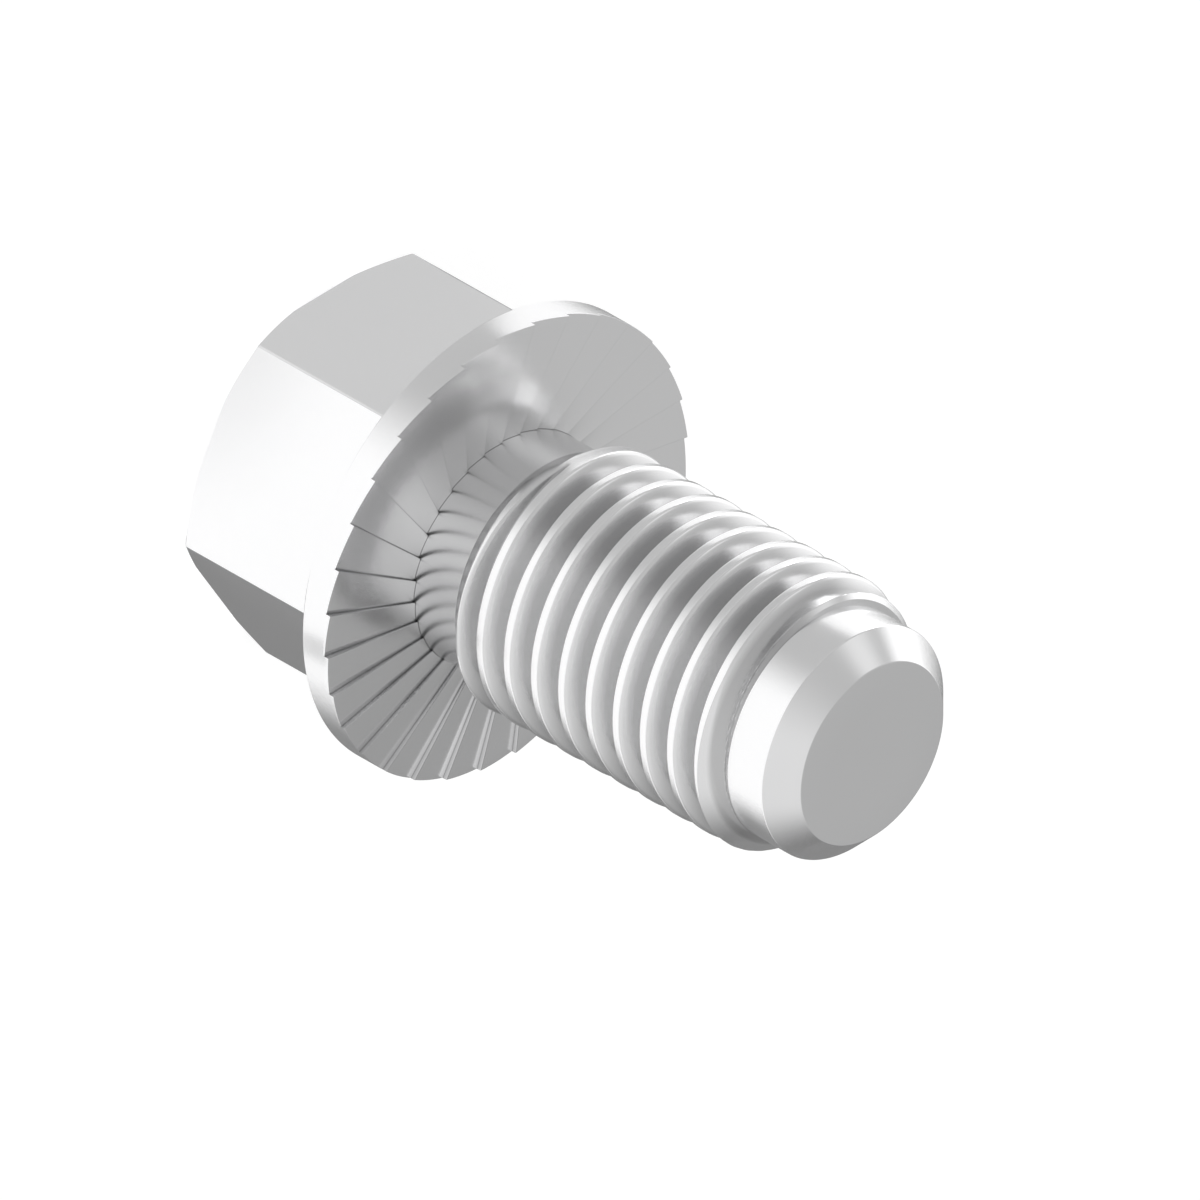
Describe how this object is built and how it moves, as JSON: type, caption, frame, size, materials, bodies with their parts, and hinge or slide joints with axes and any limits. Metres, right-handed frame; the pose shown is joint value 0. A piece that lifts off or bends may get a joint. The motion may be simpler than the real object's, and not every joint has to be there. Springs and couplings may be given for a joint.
{
  "type": "flange bolt",
  "caption": "Hexagon flange bolt with a ratchet-toothed bearing face, plain neck, fine right-hand thread and chamfered pilot point.",
  "frame": {"origin": "centre of the head's flat top, on which the bolt stands", "axes": "+Z along the bolt from the head to the tip; +X through a corner of the hexagon"},
  "size_m": [0.0198, 0.0198, 0.0302],
  "materials": {
    "bolt": "smooth satin, pale zinc grey"
  },
  "bodies": {
    "root": {"bolt": "bolt"}
  },
  "joints": []
}
